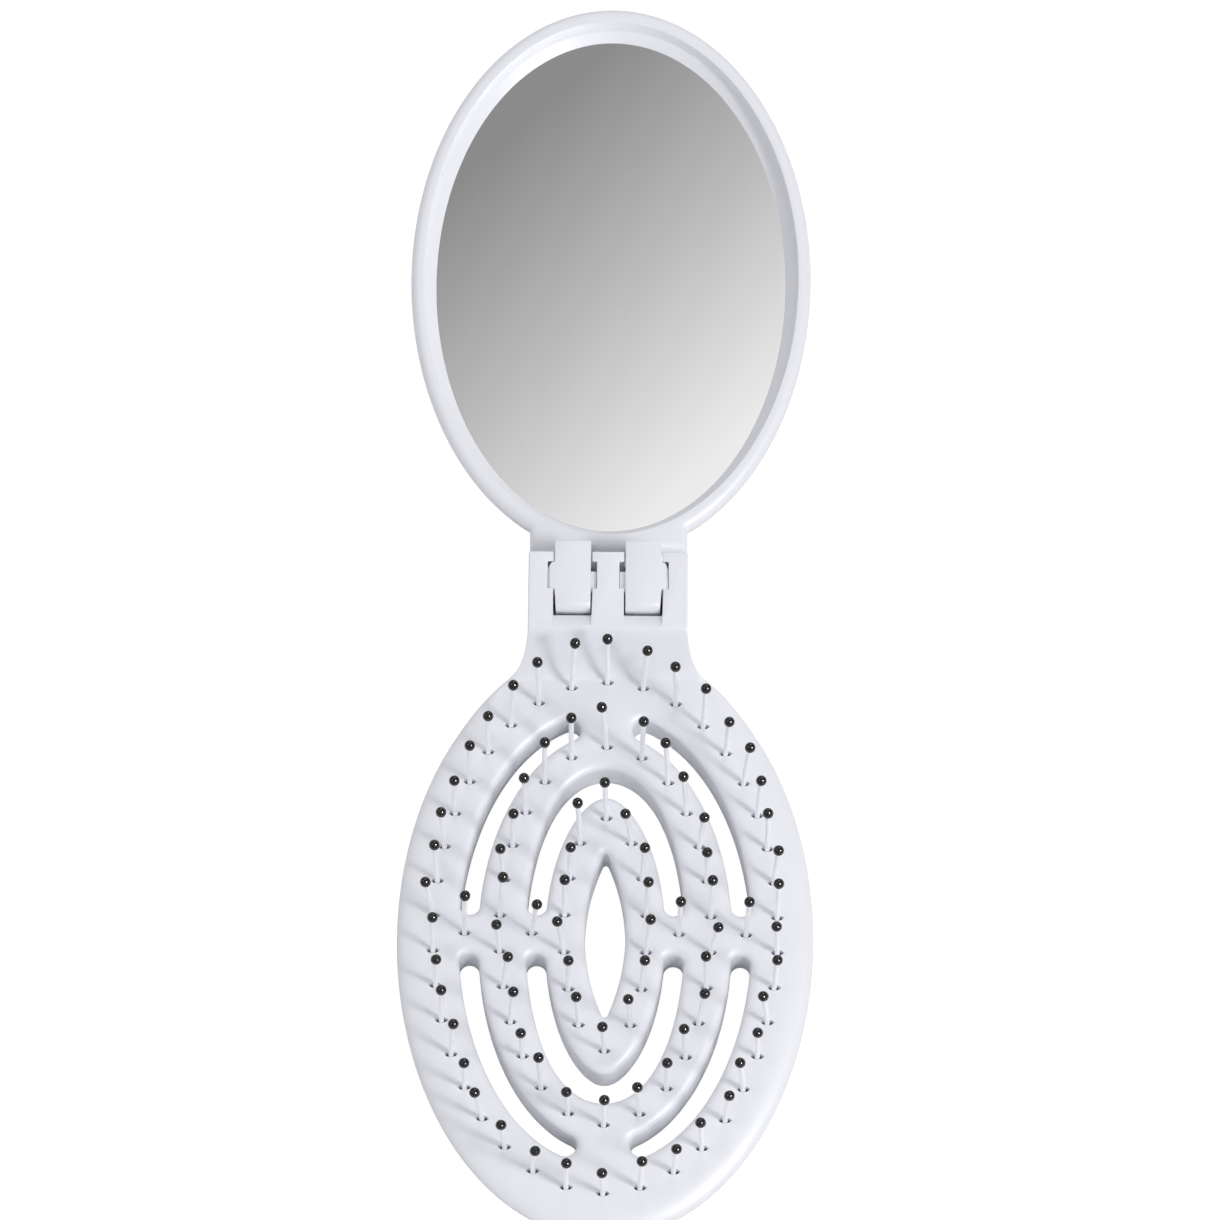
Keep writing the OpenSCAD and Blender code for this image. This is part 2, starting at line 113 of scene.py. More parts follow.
def vent_path(rims, start, end, side=60, cap=16):
    """Round a vent whose middle line is the ellipse halfway between its rims: along its outer side
    from the angle start to end, round that end, back along its inner side and round the other end.
    A point lies half a width from the middle line; the width is wx sin² t + wy cos² t."""
    middle, width = (rims[0] + rims[1]) / 2, rims[0] - rims[1]
    t = np.concatenate([run(start, end, side), np.full(cap, end), run(end, start, side), np.full(cap, start)])
    turn = np.concatenate([np.zeros(side), run(0, 1, cap), np.ones(side), run(1, 2, cap)])
    normal = heading(ellipse_heading(middle, t) - np.pi * turn)
    half = (width[0] * np.sin(t) ** 2 + width[1] * np.cos(t) ** 2) / 2
    return (centre + ellipse(middle, t) + half[:, None] * normal)[::-1], normal[::-1]


def lens_path(half_w, half_l, tip, side, end):
    """Round a lens whose points lie on Y, by the angle of its normal: each side is an arc about a
    centre on X, and each point is an arc of radius tip that both sides run into."""
    reach = half_l - tip
    far = (reach**2 - (half_w - tip) ** 2) / (2 * (half_w - tip))
    bend = np.arctan2(reach, far)
    angle = np.concatenate([run(-bend, bend, side), run(bend, np.pi - bend, end),
                            run(np.pi - bend, np.pi + bend, side), run(np.pi + bend, 2 * np.pi - bend, end)])
    normal = heading(angle)
    on_side = (np.abs(np.sin(angle)) < np.sin(bend) - 1e-9)[:, None]
    middle = np.where(on_side, [-far, 0] * np.sign(normal), [0, reach] * np.sign(normal))
    return middle + np.where(on_side, far + half_w, tip) * normal, normal


def shell_path():
    """Round the head and its neck, anticlockwise from the far end: the oval, the hollow corner that
    runs from it into the neck, the neck's side, its small corner and its end, then the same mirrored."""
    t = np.linspace(0.1, 1.2, 2000)
    gap = (ellipse(oval, t) + neck_fillet * heading(ellipse_heading(oval, t)))[:, 0] - neck_x - neck_fillet
    meet = np.interp(0, gap, t)
    bend = ellipse_heading(oval, meet)
    hollow = centre + ellipse(oval, meet) + neck_fillet * heading(bend)
    round_t = run(np.pi, meet, 150)
    hollow_a = run(bend, 0, 18)
    corner_a = run(0, np.pi / 2, 6)
    side_y = run(hollow[1], neck_end - neck_corner, 20)
    end_x = np.linspace(neck_x - neck_corner, 0, 12)
    angles = np.concatenate([
        ellipse_heading(oval, round_t), hollow_a, side_y * 0, corner_a, end_x * 0 + np.pi / 2])
    points = np.vstack([
        centre + ellipse(oval, round_t),
        hollow - neck_fillet * heading(hollow_a),
        np.stack([side_y * 0 + neck_x, side_y], -1),
        np.array([neck_x, neck_end]) - neck_corner + neck_corner * heading(corner_a),
        np.stack([end_x, end_x * 0 + neck_end], -1)])
    normals = heading(angles)
    flip = np.array([-1, 1])
    return np.vstack([points, points[-2:0:-1] * flip]), np.vstack([normals, normals[-2:0:-1] * flip])


def front_height(p):
    """Height of the front at points p: a dome that is low by the square of the distance out, then
    a smooth rise along Y up to the hinge's face."""
    dome = head_z - dome_drop * (((p - centre) / oval) ** 2).sum(-1)
    return dome + (hinge_face_z - dome) * smooth((p[..., 1] + slope_top + slope_length) / slope_length)


def carried(path, d, z):
    """Rings of a profile carried along a closed path: ring k lies d[k] out along its normals, at z[k]."""
    points, normals = path
    flat = points + d[..., None] * normals
    return np.concatenate([flat, np.broadcast_to(z, d.shape)[..., None]], -1)


def strip(rings):
    """Vertices of closed rings, and a face between each two neighbours on a ring and the next ring."""
    index = np.arange(rings[..., 0].size).reshape(rings.shape[:2])
    index = np.hstack([index, index[:, :1]])
    faces = np.stack([index[:-1, :-1], index[:-1, 1:], index[1:, 1:], index[1:, :-1]], -1)
    return rings.reshape(-1, 3), faces.reshape(-1, 4)


def inside(path, p):
    """Whether each point lies in the closed path: a ray from it along +X crosses it an odd number of
    times."""
    a, b = path, np.roll(path, -1, 0)
    spans = (a[:, 1] > p[:, 1:]) != (b[:, 1] > p[:, 1:])
    rise = np.where(a[:, 1] == b[:, 1], 1, b[:, 1] - a[:, 1])
    x = a[:, 0] + (p[:, 1:] - a[:, 1]) * (b[:, 0] - a[:, 0]) / rise
    return (spans & (p[:, :1] < x)).sum(1) % 2 == 1


def sheet(edge, holes, spots, height):
    """Triangles over the region between the path edge and the holes, at the height of each point.
    They use the paths' own points, and the spots in the region that keep clear of the paths, by a
    share of a path's longest step."""
    step_share, least_gap, near_by = 0.6, 0.3, 2
    keep = inside(edge, spots)
    for path in [edge, *holes]:
        room = max(step_share * np.linalg.norm(path - np.roll(path, 1, 0), axis=1).max(), least_gap)
        near = np.all((spots > path.min(0) - near_by) & (spots < path.max(0) + near_by), 1) & keep
        gap = np.linalg.norm(spots[near][:, None] - path, axis=2).min(1)
        keep[near] = (gap > room) & ((path is edge) | ~inside(path, spots[near]))
    points = np.vstack([edge, *holes, spots[keep]])
    sides, start = [], 0
    for path in [edge, *holes]:
        turn = np.arange(len(path))
        sides.append(start + np.stack([turn, np.roll(turn, -1)], -1))
        start += len(path)
    flat, _, faces, *_ = delaunay_2d_cdt(points.tolist(), np.vstack(sides).tolist(), [], 0, 1e-6)
    flat, faces = np.array([v[:] for v in flat]), np.array(faces)
    middle = flat[faces].mean(1)
    keep = inside(edge, middle)
    for path in holes:
        near = np.all((middle > path.min(0)) & (middle < path.max(0)), 1) & keep
        keep[near] = ~inside(path, middle[near])
    return np.column_stack([flat, np.broadcast_to(height(flat), len(flat))]), faces[keep]


def closed(name, vertices, faces):
    """One object from vertices in millimetres. Those in one place are merged, and the faces are turned
    outwards."""
    mesh = bpy.data.meshes.new(name)
    mesh.from_pydata((vertices * MM).tolist(), [], faces)
    work = bmesh.new()
    work.from_mesh(mesh)
    bmesh.ops.remove_doubles(work, verts=work.verts, dist=1e-6)
    bmesh.ops.recalc_face_normals(work, faces=work.faces)
    work.to_mesh(mesh)
    work.free()
    made = bpy.data.objects.new(name, mesh)
    bpy.context.scene.collection.objects.link(made)
    return made


def solid(name, parts):
    """One object of several (vertices, faces) parts whose rims meet."""
    starts = np.cumsum([0] + [len(vertices) for vertices, _ in parts])
    faces = [face for (_, own), start in zip(parts, starts) for face in (own + start).tolist()]
    return closed(name, np.vstack([vertices for vertices, _ in parts]), faces)


def prisms(name, several):
    """One object of several closed prisms, each an outline carried along an axis from start to end:
    (outline, start, end, axis), with the outline's points given without that axis."""
    vertices, faces, first = [], [], 0
    for outline, start, end, axis in several:
        n = len(outline)
        turn = np.arange(n)
        sides = np.stack([turn, np.roll(turn, -1), np.roll(turn, -1) + n, turn + n], -1).tolist()
        faces += [[i + first for i in face] for face in [*sides, turn[::-1].tolist(), (turn + n).tolist()]]
        vertices += [np.insert(np.array(outline, float), axis, place, 1) for place in (start, end)]
        first += 2 * n
    return closed(name, np.vstack(vertices), faces)


def combine(piece, tool, operation):
    """Cuts tool out of the piece, joins it on or keeps what both share, and removes tool."""
    step = piece.modifiers.new("combine", "BOOLEAN")
    step.operation, step.solver, step.object = operation, "EXACT", tool
    graph = bpy.context.evaluated_depsgraph_get()
    mesh = bpy.data.meshes.new_from_object(piece.evaluated_get(graph))
    piece.modifiers.clear()
    piece.data = mesh
    bpy.data.objects.remove(tool)


def ease_edges(piece, low, high, width, flat=math.radians(0.6), corner=math.radians(35)):
    """Rounds the piece's edges that turn by more than corner between the points low and high. Faces
    there that lie within flat of one plane are merged first, so that each rounding runs along one edge."""
    work = bmesh.new()
    work.from_mesh(piece.data)
    low, high = np.array(low) * MM, np.array(high) * MM

    def within(v):
        return all(low[i] <= v.co[i] <= high[i] for i in range(3))

    spot = [v for v in work.verts if within(v)]
    held = set(spot)
    edges = [e for e in work.edges if e.verts[0] in held and e.verts[1] in held]
    bmesh.ops.dissolve_limit(work, angle_limit=flat, verts=spot, edges=edges)
    held = {v for v in work.verts if within(v)}
    sharp = [e for e in work.edges if e.verts[0] in held and e.verts[1] in held
             and len(e.link_faces) == 2 and e.calc_face_angle(0) > corner]
    bmesh.ops.bevel(work, geom=sharp, offset=width * MM, offset_type="OFFSET", segments=2,
                    profile=0.5, affect="EDGES", clamp_overlap=False)
    work.to_mesh(piece.data)
    work.free()


def coat(piece, material):
    """Gives a piece, or a CAD node that is shown as it is, its finish."""
    piece.data.materials.clear()
    piece.data.materials.append(material)


def dress(piece, material, body, node, crease=38):
    """Gives a piece its finish and shading, puts it on its body, and hides the CAD node it stands for."""
    coat(piece, material)
    piece.data.polygons.foreach_set("use_smooth", np.ones(len(piece.data.polygons), bool))
    piece.data.set_sharp_from_angle(angle=math.radians(crease))
    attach(piece, body)
    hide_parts(node)


class Wire:
    """A socket's value in a material. Sums and products of wires and numbers add Math nodes."""

    def __init__(self, paint, socket):
        self.paint, self.socket = paint, socket

    def math(self, operation, *values):
        return self.paint.add("Math", {"operation": operation}, dict(enumerate(values)))

    def __add__(self, other):
        return self.math("ADD", self, other)

    def __sub__(self, other):
        return self.math("SUBTRACT", self, other)

    def __mul__(self, other):
        return self.math("MULTIPLY", self, other)

    def __rsub__(self, other):
        return self.math("SUBTRACT", other, self)

    __radd__, __rmul__ = __add__, __mul__


class Paint:
    """The nodes of a new material, or of the world that is given. They all come from one method, add."""

    def __init__(self, name, world=None):
        self.material = world or bpy.data.materials.new(name)
        self.material.use_nodes = True
        self.tree = self.material.node_tree
        self.tree.nodes.clear()

    def add(self, kind, settings=None, sockets=None, out=0):
        """A new node of that kind: its settings are set first, then each socket's value or link."""
        node = self.tree.nodes.new("ShaderNode" + kind)
        for key, value in (settings or {}).items():
            if key == "stops":
                while len(node.color_ramp.elements) < len(value):
                    node.color_ramp.elements.new(0.5)
                for element, (place, colour) in zip(node.color_ramp.elements, value):
                    element.position, element.color = place, (*colour, 1)
            else:
                setattr(node, key, value)
        for key, value in (sockets or {}).items():
            if isinstance(value, Wire):
                self.tree.links.new(value.socket, node.inputs[key])
            else:
                node.inputs[key].default_value = value
        return Wire(self, node.outputs[out]) if len(node.outputs) else None

    def place(self):
        """Object coordinates, which are the frame's own metres."""
        return self.add("TexCoord", out="Object")

    def noise(self, size, detail, rough=0.5):
        """Noise from 0 to 1 whose lumps are about size metres across."""
        return self.add("TexNoise", {}, {"Vector": self.place(), "Scale": 1 / size,
                                         "Detail": detail, "Roughness": rough})

    def blend(self, share, low, high):
        """A colour between low and high, by share."""
        return self.add("Mix", {"data_type": "RGBA"}, {0: share, 6: (*low, 1), 7: (*high, 1)}, out=2)

    def relief(self, height, depth, below=None):
        """A normal from a height of 0 to 1 that stands depth metres high."""
        sockets = {"Height": height, "Distance": depth, "Strength": 1.0}
        if below:
            sockets["Normal"] = below
        return self.add("Bump", {}, sockets)

    def surface(self, **sockets):
        """The finished surface: a Principled shader on the material's output."""
        named = {key.replace("_", " ").title().replace("Ior", "IOR"): value for key, value in sockets.items()}
        shader = self.add("BsdfPrincipled", {}, named)
        self.add("OutputMaterial", {}, {"Surface": shader})
        return self.material


# Round the head the edge is broad and the side tucks in; both fade out on the way to the neck
outline = shell_path()
fade_start, fade_length, neck_edge = -24.0, 11.0, neck_corner - 0.05
near_neck = smooth((outline[0][:, 1] - fade_start) / fade_length)
wide = edge_wide + (neck_edge - edge_wide) * near_neck
drop = edge_drop + (neck_edge - edge_drop) * near_neck
tuck = tuck_in * (1 - near_neck)


def edge_rings(bend):
    """The rounded edge: a quarter of an ellipse, wide across and drop down, at the angles bend."""
    d = -wide * (1 - np.sin(bend))[:, None]
    flat = outline[0] + d[..., None] * outline[1]
    return d, front_height(flat) - drop * (1 - np.cos(bend))[:, None]


def side_rings(share):
    """The side from that edge (share 0) down to the seam (share 1), tucked in by the square of its depth."""
    top = front_height(outline[0]) - drop
    low_edge = seam_z + seam_ease
    z = top + (low_edge - top) * share[:, None]
    return -tuck * ((top - z) / top) ** 2, z


edge_d, edge_z = edge_rings(np.linspace(0, np.pi / 2, 9))
side_d, side_z = side_rings(np.linspace(0, 1, 8)[1:])
at_seam = side_d[-1]
inner_d = np.array([at_seam - seam_ease, at_seam - side_wall, at_seam - side_wall])
inner_z = np.array([seam_z, seam_z, ceiling_z])[:, None] + 0 * at_seam
shell_rings = carried(outline, np.vstack([edge_d, side_d, inner_d]), np.vstack([edge_z, side_z, inner_z]))
on_neck = (outline[0][:, 1] > -slope_top) & (np.abs(outline[0][:, 0]) < neck_x + 0.01)
room_x, room_y = np.array([neck_x, neck_end]) - side_wall
shell_rings[-2:, on_neck, 0] = np.clip(shell_rings[-2:, on_neck, 0], -room_x, room_x)
shell_rings[-2:, on_neck, 1] = np.minimum(shell_rings[-2:, on_neck, 1], room_y)


def vent_rings(hole):
    """From the face round the vent's shoulder, down its wall to the seam and up behind the wall."""
    points, normals = hole
    bend = np.linspace(0, np.pi / 2, 7)
    d = shoulder * (1 - np.sin(bend))[:, None] + 0 * points[:, 0]
    z = front_height(points + d[..., None] * normals) - shoulder_drop * (1 - np.cos(bend))[:, None]
    back_d = np.array([0, seam_ease, vent_wall, vent_wall])[:, None] + 0 * points[:, 0]
    back_z = np.array([seam_z + seam_ease, seam_z, seam_z, ceiling_z])[:, None] + 0 * points[:, 0]
    return carried(hole, np.vstack([d, back_d]), np.vstack([z, back_z]))


def eye_rings(hole):
    """The small rounded rim of a pin's opening and its wall down to the ceiling."""
    points, normals = hole
    bend = np.linspace(0, np.pi / 2, 4)
    d = eye_rim * (1 - np.sin(bend))[:, None] + 0 * points[:, 0]
    z = front_height(points + d[..., None] * normals) - eye_rim * (1 - np.cos(bend))[:, None]
    return carried(hole, np.vstack([d, d[-1:]]), np.vstack([z, z[-1:] * 0 + ceiling_z]))


def vent_paths():
    """All vents: four outer ones between the bridges and the crossbars, two inner ones, and the lens."""
    outer_mid, outer_w = (outer_vent[0] + outer_vent[1]) / 2, outer_vent[0] - outer_vent[1]
    inner_mid, inner_w = (inner_vent[0] + inner_vent[1]) / 2, inner_vent[0] - inner_vent[1]
    first = math.asin((bridge_width + outer_w[1]) / 2 / outer_mid[0])
    last = math.acos((crossbar_height + outer_w[0]) / 2 / outer_mid[1])
    inner_last = math.acos((crossbar_height + inner_w[0]) / 2 / inner_mid[1])
    found = [vent_path(outer_vent, s + first, s + last) for s in (0, np.pi)]
    found += [vent_path(outer_vent, s - last, s - first) for s in (0, np.pi)]
    found += [vent_path(inner_vent, s - inner_last, s + inner_last, side=90) for s in (0, np.pi)]
    points, normals = lens_path(*lens_half, lens_tip, side=40, end=12)
    return found + [(centre + points, normals)]


def even_angles(r, count):
    """Angles that part an ellipse into count equal lengths, from its +Y end."""
    t = np.linspace(0, 2 * np.pi, 2001)
    length = np.concatenate([[0], np.cumsum(np.linalg.norm(np.diff(ellipse(r, t), axis=0), axis=1))])
    return np.interp(run(0, length[-1], count), length, t)


# Rings of pins by their node's name: half sizes and how many; the crossbars' pins stand on Y = 0
pin_rings = {"outer": ([26.46, 41.52], 38), "middle": ([16.25, 30.70], 26), "inner": ([6.35, 18.90], 14)}
pin_places = {name: centre + ellipse(r, even_angles(r, count)) for name, (r, count) in pin_rings.items()}
pin_places["crossbar"] = centre + np.array([[x, 0] for x in (-21.6, -11.3, 11.3, 21.6)])

eye_points, eye_normals = lens_path(*eye_half, eye_tip, side=9, end=4)
quarter_turn = np.array([[0, 1], [-1, 0]])
eyes = [(place + eye_points @ quarter_turn, eye_normals @ quarter_turn)
        for places in pin_places.values() for place in places]
vents = vent_paths()

# Points that let the face follow its dome, in staggered rows that are closer where it rises to the neck
row, slope_row, column, stagger = 1.0, 0.32, 1.05, 0.5
grid_end, grid_side = -102.0, 31.0
slope_y = -slope_top - slope_row * np.arange(20.0, -1, -1)
grid_y = np.concatenate([np.arange(grid_end, slope_y[0] - row / 2, row), slope_y])
grid_x = np.arange(-grid_side, grid_side, column)
spots = np.stack(np.meshgrid(grid_x, grid_y), -1)
spots[1::2, :, 0] += stagger
spots = spots.reshape(-1, 2)

vent_skins, eye_skins = [vent_rings(v) for v in vents], [eye_rings(e) for e in eyes]
face = sheet(shell_rings[0][:, :2], [r[0][:, :2] for r in vent_skins + eye_skins], spots, front_height)
ceiling = sheet(shell_rings[-1][:, :2], [r[-1][:, :2] for r in vent_skins + eye_skins], spots[:0],
                lambda p: ceiling_z)
hole_walls = [strip(r) for r in vent_skins + eye_skins]
front = solid("front_moulding", [face, ceiling, strip(shell_rings)] + hole_walls)

arm_x = 5.5
slot_half, slot_end = 3.02, 6.3
socket_r, socket_in, socket_out = 2.55, 1.75, 9.4
ramp_deep, ramp_long = 1.2, 2.2


def arc(r, start, end, count, y=0.0, z=hinge_z):
    """Points [y, z] on an arc about the hinge's axis, or another centre, by its angle from +Y."""
    a = np.linspace(start, end, count)
    return np.stack([y + r * np.cos(a), z + r * np.sin(a)], -1)


def across(side, start, end):
    """A prism of that side outline from start to end along X, and the same mirrored for the other arm."""
    return [(side, s * start, s * end, 0) for s in (-1, 1)]


# A slot runs out through the neck's end, is round about the hinge's axis and has a ramp towards the head
past = neck_end + 2
slot_side = np.vstack([
    [[past, hinge_face_z + ramp_deep], [-slot_end - 2 * ramp_long, hinge_face_z + ramp_deep],
     [-slot_end, hinge_face_z - ramp_deep]],
    arc(slot_end, np.pi, 1.5 * np.pi + math.asin(neck_end / slot_end) + 0.02, 40)])
slot_side = np.vstack([slot_side, [[past, slot_side[-1][1]]]])
near_x, far_x = arm_x - slot_half, arm_x + slot_half
combine(front, prisms("slots", across(slot_side, near_x, far_x)), "DIFFERENCE")
socket_side, into_slot = arc(socket_r, 0, 2 * np.pi, 73)[:-1], 0.1
combine(front, prisms("sockets", across(socket_side, socket_in, near_x + into_slot)
                      + across(socket_side, far_x - into_slot, socket_out)), "DIFFERENCE")
mould_ease = 0.14
ease_edges(front, (-neck_x - 0.1, -slope_top - 0.01, 7.0), (neck_x + 0.1, neck_end + 0.1, 16.0), mould_ease)

# Glossy white ABS: a faint cloudiness of the pigment, the slight waviness of a moulded skin, and a
# finer grain where handling has dulled the gloss
paint = Paint("white_plastic")
cloud = paint.noise(0.018, 3.0)
wave = paint.noise(0.0045, 1.0)
grain = paint.noise(0.00035, 2.0)
scuff = paint.noise(0.006, 6.0, 0.7)
white = paint.surface(
    base_color=paint.blend(cloud, (0.7913, 0.7961, 0.8396), (0.82, 0.825, 0.87)),
    roughness=0.36 + 0.10 * scuff + 0.03 * grain, ior=1.5,
    normal=paint.relief(grain, 0.0000012, paint.relief(wave, 0.000022)))
dress(front, white, "brush", "front_shell")

# ---- Rubber cushion ----
# A thin black rubber sheet behind the front wall that every pin goes through, so that the pins give
# a little. It shows only as dark corners beside each pin. Die-cut, and held by the pins' heads.

paint = Paint("black_rubber")
grain = paint.noise(0.0004, 3.0, 0.6)
bloom = paint.noise(0.004, 4.0, 0.6)
rubber = paint.surface(
    base_color=paint.blend(bloom, (0.016, 0.016, 0.018), (0.028, 0.028, 0.030)),
    roughness=0.55 + 0.2 * bloom, normal=paint.relief(grain, 0.000015))
coat(frame["nodes"]["pin_cushion"], rubber)

# ---- Pins ----
# Single pins moulded in pale nylon, each a round stem on a flat head that is trapped behind the
# rubber. The rubber lets each one lean a little its own way, and those at the ends lean outwards.

pin_r, pin_head_r, pin_head_ease, pin_foot, pin_head_z = 0.4, 1.1, 0.1, 3.8, 4.4
ball_r, ball_z = 0.83, 20.74
ball_foot = ball_z - math.sqrt(ball_r**2 - pin_r**2)
chance = np.random.default_rng(11)
lean_out, stray, most_stray = 0.00128, 0.03, 0.06
leans = {}
for name, places in pin_places.items():
    strays = np.clip(chance.normal(0, stray, places.shape), -most_stray, most_stray)
    leans[name] = (places - centre) * [0, lean_out] + strays


def turned(places, lean, profile, around):
    """Many turned solids: each profile point [r, z] carried round a line at every place. The line leaves
    the pins' heads upright and bends to its lean: it strays by lean L (h / L) ** 1.5 at a height h above
    them, L being the height of the balls. A radius of 0 closes an end."""
    r, z = np.array(profile).T
    a = run(0, 2 * np.pi, around)
    spin = r[:, None, None] * heading(a)
    rise = ball_z - pin_head_z
    shift = lean[:, None, None] * (rise * (np.maximum(z - pin_head_z, 0) / rise) ** 1.5)[None, :, None, None]
    flat = places[:, None, None] + shift + spin
    rings = np.concatenate([flat, np.broadcast_to(z[:, None, None], (*flat.shape[:3], 1))], -1)
    vertices, faces = strip(rings[0])
    starts = np.arange(len(places))[:, None, None] * len(vertices)
    return rings.reshape(-1, 3), (faces + starts).reshape(-1, 4)


def rounded(r0, z0, r1, z1, count, turn=0):
    """Points [r, z] along a quarter of an ellipse from (r0, z0) to (r1, z1). It starts along z, or along
    r where turn is 1."""
    b = np.linspace(0, np.pi / 2, count)
    u, v = (1 - np.cos(b), np.sin(b)) if turn == 0 else (np.sin(b), 1 - np.cos(b))
    return np.stack([r0 + (r1 - r0) * u, z0 + (z1 - z0) * v], -1)


in_r = pin_head_r - pin_head_ease
stem = np.vstack([
    [[0, pin_foot]], rounded(in_r, pin_foot, pin_head_r, pin_foot + pin_head_ease, 4, turn=1),
    rounded(pin_head_r, pin_head_z - pin_head_ease, in_r, pin_head_z, 4),
    np.stack([np.full(8, pin_r), np.linspace(pin_head_z, ball_foot, 8)], -1), [[0, ball_foot]]])

# Painted light: a glow that lightens the pins' shade, most in the opening and away from the key lamp
paint = Paint("pin_nylon")
haze = paint.noise(0.003, 3.0)
opening_low, opening_high, glow_above_opening, from_key = 0.0062, 0.0078, 0.28, (-0.81, 0.59, 0.0)
painted_glow_in_opening = paint.add("MapRange", {"interpolation_type": "SMOOTHSTEP"}, {
    "Value": paint.add("SeparateXYZ", {}, {0: paint.place()}, out="Z"),
    "From Min": opening_low, "From Max": opening_high, "To Min": 1.0, "To Max": glow_above_opening})
painted_fill_far_side = paint.add("VectorMath", {"operation": "DOT_PRODUCT"}, {
    0: paint.add("NewGeometry", out="Normal"), 1: from_key}, out="Value")
painted_glow = painted_glow_in_opening + 0.3 * painted_fill_far_side
# The emission is a painted glow: it lightens the pins' shaded side and their feet in the opening
nylon = paint.surface(
    base_color=paint.blend(haze, (0.88, 0.88, 0.92), (0.93, 0.93, 0.96)), roughness=0.28 + 0.1 * haze,
    normal=paint.relief(paint.noise(0.0005, 2.0), 0.000004), ior=1.53,
    emission_color=paint.blend(painted_glow, (0, 0, 0), (0.95, 0.95, 1.0)), emission_strength=0.2)
for name, places in pin_places.items():
    pins = solid(f"{name}_pin_stems", [turned(places, leans[name], stem, 16)])
    dress(pins, nylon, "brush", f"{name}_pins")

# ---- Ball tips ----
# A drop of glossy black resin on the end of every pin, nearly a ball, that protects the scalp. The
# pins are dipped and the drops harden in place, so each one follows its pin's lean.

bend = np.linspace(math.asin(pin_r / ball_r), np.pi, 12)
ball = np.vstack([[[0, ball_foot]], np.stack([ball_r * np.sin(bend), ball_z - ball_r * np.cos(bend)], -1)])
ball[-1, 0] = 0

paint = Paint("black_resin")
mottle = paint.noise(0.0012, 3.0)
resin = paint.surface(
    base_color=paint.blend(mottle, (0.0005, 0.0005, 0.001), (0.002, 0.002, 0.003)),
    roughness=0.05 + 0.04 * mottle, normal=paint.relief(paint.noise(0.0009, 1.0), 0.000008), ior=1.7)
for name, places in pin_places.items():
    drops = solid(f"{name}_pin_drops", [turned(places, leans[name], ball, 20)])
    dress(drops, resin, "brush", f"{name}_tips")

# ---- Backing plate ----
# A flat sheet of the same white plastic behind the pins' heads that keeps them from being pushed
# back in. It is die-cut, clamped between the two halves of the head, and unseen.

coat(frame["nodes"]["pin_backing"], white)

# ---- Rear cover ----
# The back half of the head and neck: a shallow white moulding with the same vents, whose tucked-in
# side carries on the front shell's and rounds into the flat that the brush lies on. It is pressed in.

vent_ease = 0.45
low_z, turn_in = 0.35, 0.25 + 0.35 * (1 - near_neck)


def curl(b, handle, more):
    """A parabola at the share b of its way: from 0 it heads for handle, and it ends at handle + more."""
    return handle * (2 * b * (1 - b) + b**2) + more * b**2


side_top = front_height(outline[0]) - drop
cover_z = np.linspace(seam_z - seam_ease, low_z, 6)[:, None] + 0 * side_top
cover_d = -tuck * ((side_top - cover_z) / side_top) ** 2
# Below low_z the side goes on at its last slope and curls in
side_slope = 2 * tuck * (side_top - low_z) / side_top**2
b = np.linspace(0, 1, 7)[1:, None]
under_d = cover_d[-1] - curl(b, low_z * side_slope, turn_in)
under_z = low_z * (1 - b) ** 2 + 0 * side_top
top_d = cover_d[:1] - seam_ease
cover_rings = carried(outline, np.vstack([top_d, cover_d, under_d]),
                      np.vstack([0 * top_d + seam_z, cover_z, under_z]))


def cover_vent(hole):
    """Through the cover: a small ease at the seam, a straight wall, and a rounded rim at the back."""
    lip = rounded(0, vent_ease, vent_ease, 0, 5)
    d, z = np.vstack([[[seam_ease, seam_z], [0, seam_z - seam_ease]], lip]).T
    still = 0 * hole[0][:, 0]
    return carried(hole, d[:, None] + still, z[:, None] + still)


cover_holes = [cover_vent(v) for v in vents]
rear = solid("rear_moulding", [
    sheet(cover_rings[0][:, :2], [r[0][:, :2] for r in cover_holes], spots[:0], lambda p: seam_z),
    sheet(cover_rings[-1][:, :2], [r[-1][:, :2] for r in cover_holes], spots[::7], lambda p: 0.0),
    strip(cover_rings)] + [strip(r) for r in cover_holes])
dress(rear, white, "brush", "rear_cover")

# ---- Mirror lid ----
# One moulding of the same white plastic: a tray with a rounded rim and a sloping band round the glass,
# and on its near end a plate with two arms. Their round stubs snap into the neck's sockets and turn
# there, so that the lid folds over the pins.

lid_high = np.array(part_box("lid_shell")[1]) / MM
glass_low, glass_high = (np.array(corner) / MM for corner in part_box("mirror_glass"))
lid_centre = np.array([0.0, lid_high[1] - half_length])
lid_low_y = lid_centre[1] - half_length
lid_z, floor_z = 6.0, 1.0
rim_wide, rim_drop = np.array([1.35, 1.7]), 1.5
rim_in, rim_ease = np.array([2.1, 2.8]), 0.25
band_rise, band_wide, band_cove, cove_drop = 0.9, 1.9, 0.35, 0.165
band_top, seat_wide, lid_turn_in = glass_high[2] + band_rise, 1.895, 0.6
lid_t = even_angles(oval, 224)


def level(inset, z):
    """Insets [across, along] and heights as one list of profile points."""
    inset = np.array(inset, float)
    inset = inset if inset.ndim > 1 else inset[:, None] + np.zeros(2)
    return np.column_stack([inset, np.broadcast_to(z, len(inset))])


def oval_rings(r, profile):
    """Rings about the lid's centre, one for each profile point: an ellipse of half sizes r less the
    point's insets, at its height."""
    return np.stack([
        np.column_stack([lid_centre + ellipse(r - row[:2], lid_t), 0 * lid_t + row[2]]) for row in profile])


